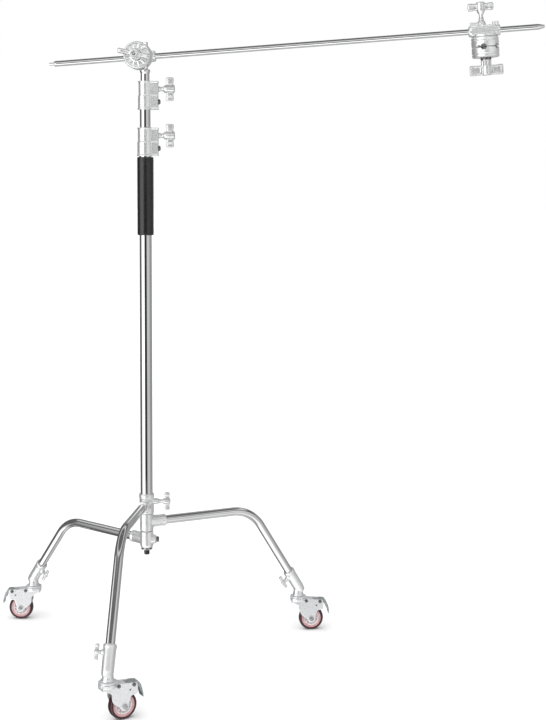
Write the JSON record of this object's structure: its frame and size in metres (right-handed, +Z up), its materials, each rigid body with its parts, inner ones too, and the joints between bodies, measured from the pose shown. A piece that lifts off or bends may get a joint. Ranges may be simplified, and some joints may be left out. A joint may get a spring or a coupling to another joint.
{
  "type": "c-stand",
  "caption": "Rolling C-stand: three bent folding legs on braked casters, telescoping column, and a boom arm carried by grip heads.",
  "frame": {"origin": "on the column axis, at the floor under the three wheels", "axes": "+Z up along the column, -Y towards the front leg, +X towards the long side of the boom arm"},
  "size_m": [1.6128, 0.862, 1.8952],
  "materials": {
    "steel_tube": "polished stainless tube",
    "cast_metal": "satin tumbled casting",
    "knob_metal": "satin cast knob",
    "fork_zinc": "bright zinc-plated pressing",
    "fastener": "zinc-plated steel",
    "grip_rubber": "matt black sleeve",
    "wheel_tread": "dark maroon tread",
    "wheel_core": "pale moulded core"
  },
  "bodies": {
    "base": {"base_receiver": "cast_metal", "base_post": "steel_tube", "end_button": "grip_rubber", "leg_front": "steel_tube", "front_socket": "cast_metal", "front_race": "fork_zinc"},
    "base_knob": {"base_knob": "knob_metal"},
    "right_leg": {"hub_right": "cast_metal", "leg_right": "steel_tube", "right_socket": "cast_metal", "right_race": "fork_zinc"},
    "left_leg": {"hub_left": "cast_metal", "leg_left": "steel_tube", "left_socket": "cast_metal", "left_race": "fork_zinc"},
    "lock_plunger": {"lock_plunger": "fastener"},
    "front_fork": {"front_fork": "fork_zinc", "front_axle": "fastener"},
    "front_wheel": {"front_tread": "wheel_tread", "front_wheel_hub": "wheel_core"},
    "front_brake": {"front_brake": "fork_zinc"},
    "front_screw": {"front_socket_screw": "knob_metal"},
    "right_fork": {"right_fork": "fork_zinc", "right_axle": "fastener"},
    "right_wheel": {"right_tread": "wheel_tread", "right_wheel_hub": "wheel_core"},
    "right_brake": {"right_brake": "fork_zinc"},
    "right_screw": {"right_socket_screw": "knob_metal"},
    "left_fork": {"left_fork": "fork_zinc", "left_axle": "fastener"},
    "left_wheel": {"left_tread": "wheel_tread", "left_wheel_hub": "wheel_core"},
    "left_brake": {"left_brake": "fork_zinc"},
    "left_screw": {"left_socket_screw": "knob_metal"},
    "column": {"tube_1": "steel_tube", "grip_sleeve": "grip_rubber", "collar_1": "cast_metal", "collar_1_bolt": "fastener"},
    "collar_1_knob": {"collar_1_knob": "knob_metal"},
    "riser_2": {"tube_2": "steel_tube", "collar_2": "cast_metal", "collar_2_bolt": "fastener"},
    "collar_2_knob": {"collar_2_knob": "knob_metal"},
    "riser_3": {"tube_3": "steel_tube", "stud": "steel_tube"},
    "head_1_jaw": {"head_1_inner_jaw": "cast_metal"},
    "head_1_clamp": {"head_1_outer_jaw": "cast_metal"},
    "head_1_handle": {"head_1_handle": "knob_metal"},
    "head_1_block": {"head_1_block": "cast_metal", "head_1_bolt": "fastener"},
    "head_1_knob": {"head_1_knob": "knob_metal"},
    "arm": {"arm_tube": "steel_tube", "arm_pin": "steel_tube", "arm_cap": "steel_tube"},
    "head_2_block": {"head_2_block": "cast_metal", "head_2_bolt": "fastener"},
    "head_2_knob": {"head_2_knob": "knob_metal"},
    "head_2_jaw": {"head_2_inner_jaw": "cast_metal"},
    "head_2_clamp": {"head_2_outer_jaw": "cast_metal"},
    "head_2_handle": {"head_2_handle": "knob_metal"}
  },
  "joints": [
    {"name": "base_knob_turn", "type": "hinge", "parent": "base", "child": "base_knob", "pos_m": [0.034, 0, 0.457], "axis": [1, 0, 0], "range_deg": [-360, 360]},
    {"name": "right_leg_fold", "type": "hinge", "parent": "base", "child": "right_leg", "pos_m": [0, 0, 0.396], "axis": [0, 0, 1], "range_deg": [-96, 0]},
    {"name": "left_leg_fold", "type": "hinge", "parent": "base", "child": "left_leg", "pos_m": [0, 0, 0.344], "axis": [0, 0, 1], "range_deg": [0, 96]},
    {"name": "lock_plunger_pull", "type": "slide", "parent": "left_leg", "child": "lock_plunger", "axis": [1, 0, 0], "range_m": [0, 0.005], "stiffness_N_per_m": 600, "springref_m": -0.002},
    {"name": "front_swivel", "type": "hinge", "parent": "base", "child": "front_fork", "pos_m": [-0.054, -0.49707, 0.099], "axis": [0, 0, 1], "continuous": true},
    {"name": "front_roll", "type": "hinge", "parent": "front_fork", "child": "front_wheel", "pos_m": [-0.01971, -0.47647, 0.0375], "axis": [-0.515, 0.8572, 0], "continuous": true},
    {"name": "front_brake_press", "type": "hinge", "parent": "front_fork", "child": "front_brake", "pos_m": [-0.00685, -0.46875, 0.079], "axis": [-0.515, 0.8572, 0], "range_deg": [0, 12]},
    {"name": "front_screw_turn", "type": "hinge", "parent": "base", "child": "front_screw", "pos_m": [-0.07375, -0.47516, 0.17598], "axis": [-0.9942, 0.108, 0], "range_deg": [-180, 360]},
    {"name": "right_swivel", "type": "hinge", "parent": "right_leg", "child": "right_fork", "pos_m": [0.44786, 0.22232, 0.099], "axis": [0, 0, 1], "continuous": true},
    {"name": "right_roll", "type": "hinge", "parent": "right_fork", "child": "right_wheel", "pos_m": [0.48757, 0.22705, 0.0375], "axis": [-0.1184, 0.993, 0], "continuous": true},
    {"name": "right_brake_press", "type": "hinge", "parent": "right_fork", "child": "right_brake", "pos_m": [0.50247, 0.22883, 0.079], "axis": [-0.1184, 0.993, 0], "range_deg": [0, 12]},
    {"name": "right_screw_turn", "type": "hinge", "parent": "right_leg", "child": "right_screw", "pos_m": [0.40976, 0.20341, 0.1619], "axis": [-0.7594, -0.377, -0.5303], "range_deg": [-180, 360]},
    {"name": "left_swivel", "type": "hinge", "parent": "left_leg", "child": "left_fork", "pos_m": [-0.38912, 0.31398, 0.099], "axis": [0, 0, 1], "continuous": true},
    {"name": "left_roll", "type": "hinge", "parent": "left_fork", "child": "left_wheel", "pos_m": [-0.42911, 0.31496, 0.0375], "axis": [-0.0244, -0.9997, 0], "continuous": true},
    {"name": "left_brake_press", "type": "hinge", "parent": "left_fork", "child": "left_brake", "pos_m": [-0.44411, 0.31533, 0.079], "axis": [-0.0244, -0.9997, 0], "range_deg": [0, 12]},
    {"name": "left_screw_turn", "type": "hinge", "parent": "left_leg", "child": "left_screw", "pos_m": [-0.3531, 0.28492, 0.15666], "axis": [0.6162, -0.4972, -0.6107], "range_deg": [-180, 360]},
    {"name": "column_lift", "type": "slide", "parent": "base", "child": "column", "axis": [0, 0, 1], "range_m": [0, 0.06]},
    {"name": "collar_1_knob_turn", "type": "hinge", "parent": "column", "child": "collar_1_knob", "pos_m": [0.038, 0, 1.515], "axis": [1, 0, 0], "range_deg": [-360, 360]},
    {"name": "riser_2_slide", "type": "slide", "parent": "column", "child": "riser_2", "axis": [0, 0, 1], "range_m": [-0.05, 0.85]},
    {"name": "collar_2_knob_turn", "type": "hinge", "parent": "riser_2", "child": "collar_2_knob", "pos_m": [0.038, 0, 1.646], "axis": [1, 0, 0], "range_deg": [-360, 360]},
    {"name": "riser_3_slide", "type": "slide", "parent": "riser_2", "child": "riser_3", "axis": [0, 0, 1], "range_m": [-0.015, 0.9]},
    {"name": "head_1_pan", "type": "hinge", "parent": "riser_3", "child": "head_1_jaw", "pos_m": [0, 0, 1.739], "axis": [0, 0, 1], "continuous": true},
    {"name": "head_1_open", "type": "slide", "parent": "head_1_jaw", "child": "head_1_clamp", "axis": [-0.0523, -0.9986, 0], "range_m": [0, 0.0031]},
    {"name": "head_1_handle_turn", "type": "hinge", "parent": "head_1_clamp", "child": "head_1_handle", "pos_m": [-0.02311, -0.05887, 1.739], "axis": [-0.0523, -0.9986, 0], "range_deg": [0, 720]},
    {"name": "arm_tilt", "type": "hinge", "parent": "head_1_jaw", "child": "head_1_block", "pos_m": [-0.01997, 0.00105, 1.739], "axis": [-0.0523, -0.9986, 0], "range_deg": [-70, 70]},
    {"name": "head_1_knob_turn", "type": "hinge", "parent": "head_1_block", "child": "head_1_knob", "pos_m": [-0.02307, 0.07531, 1.73847], "axis": [0.0523, 0.9986, 0], "range_deg": [-360, 360]},
    {"name": "arm_slide", "type": "slide", "parent": "head_1_block", "child": "arm", "axis": [0.9958, -0.0522, 0.075], "range_m": [-0.8, 0.19]},
    {"name": "head_2_roll", "type": "hinge", "parent": "arm", "child": "head_2_block", "pos_m": [0.95834, -0.00416, 1.81248], "axis": [0.9958, -0.0522, 0.075], "continuous": true},
    {"name": "head_2_knob_turn", "type": "hinge", "parent": "head_2_block", "child": "head_2_knob", "pos_m": [0.94927, -0.00369, 1.83987], "axis": [-0.0749, 0.0039, 0.9972], "range_deg": [-360, 360]},
    {"name": "head_2_jaw_swing", "type": "hinge", "parent": "head_2_block", "child": "head_2_jaw", "pos_m": [0.96178, -0.00434, 1.76661], "axis": [0.0749, -0.0039, -0.9972], "continuous": true},
    {"name": "head_2_open", "type": "slide", "parent": "head_2_jaw", "child": "head_2_clamp", "axis": [0.0749, -0.0039, -0.9972], "range_m": [0, 0.0031]},
    {"name": "head_2_handle_turn", "type": "hinge", "parent": "head_2_clamp", "child": "head_2_handle", "pos_m": [0.96627, -0.00458, 1.70678], "axis": [0.0749, -0.0039, -0.9972], "range_deg": [0, 720]}
  ],
  "couplings": [
    {"joint": "head_1_open", "follows": "head_1_handle_turn", "m_per_rad": 0.00023873},
    {"joint": "head_2_open", "follows": "head_2_handle_turn", "m_per_rad": 0.00023873}
  ]
}
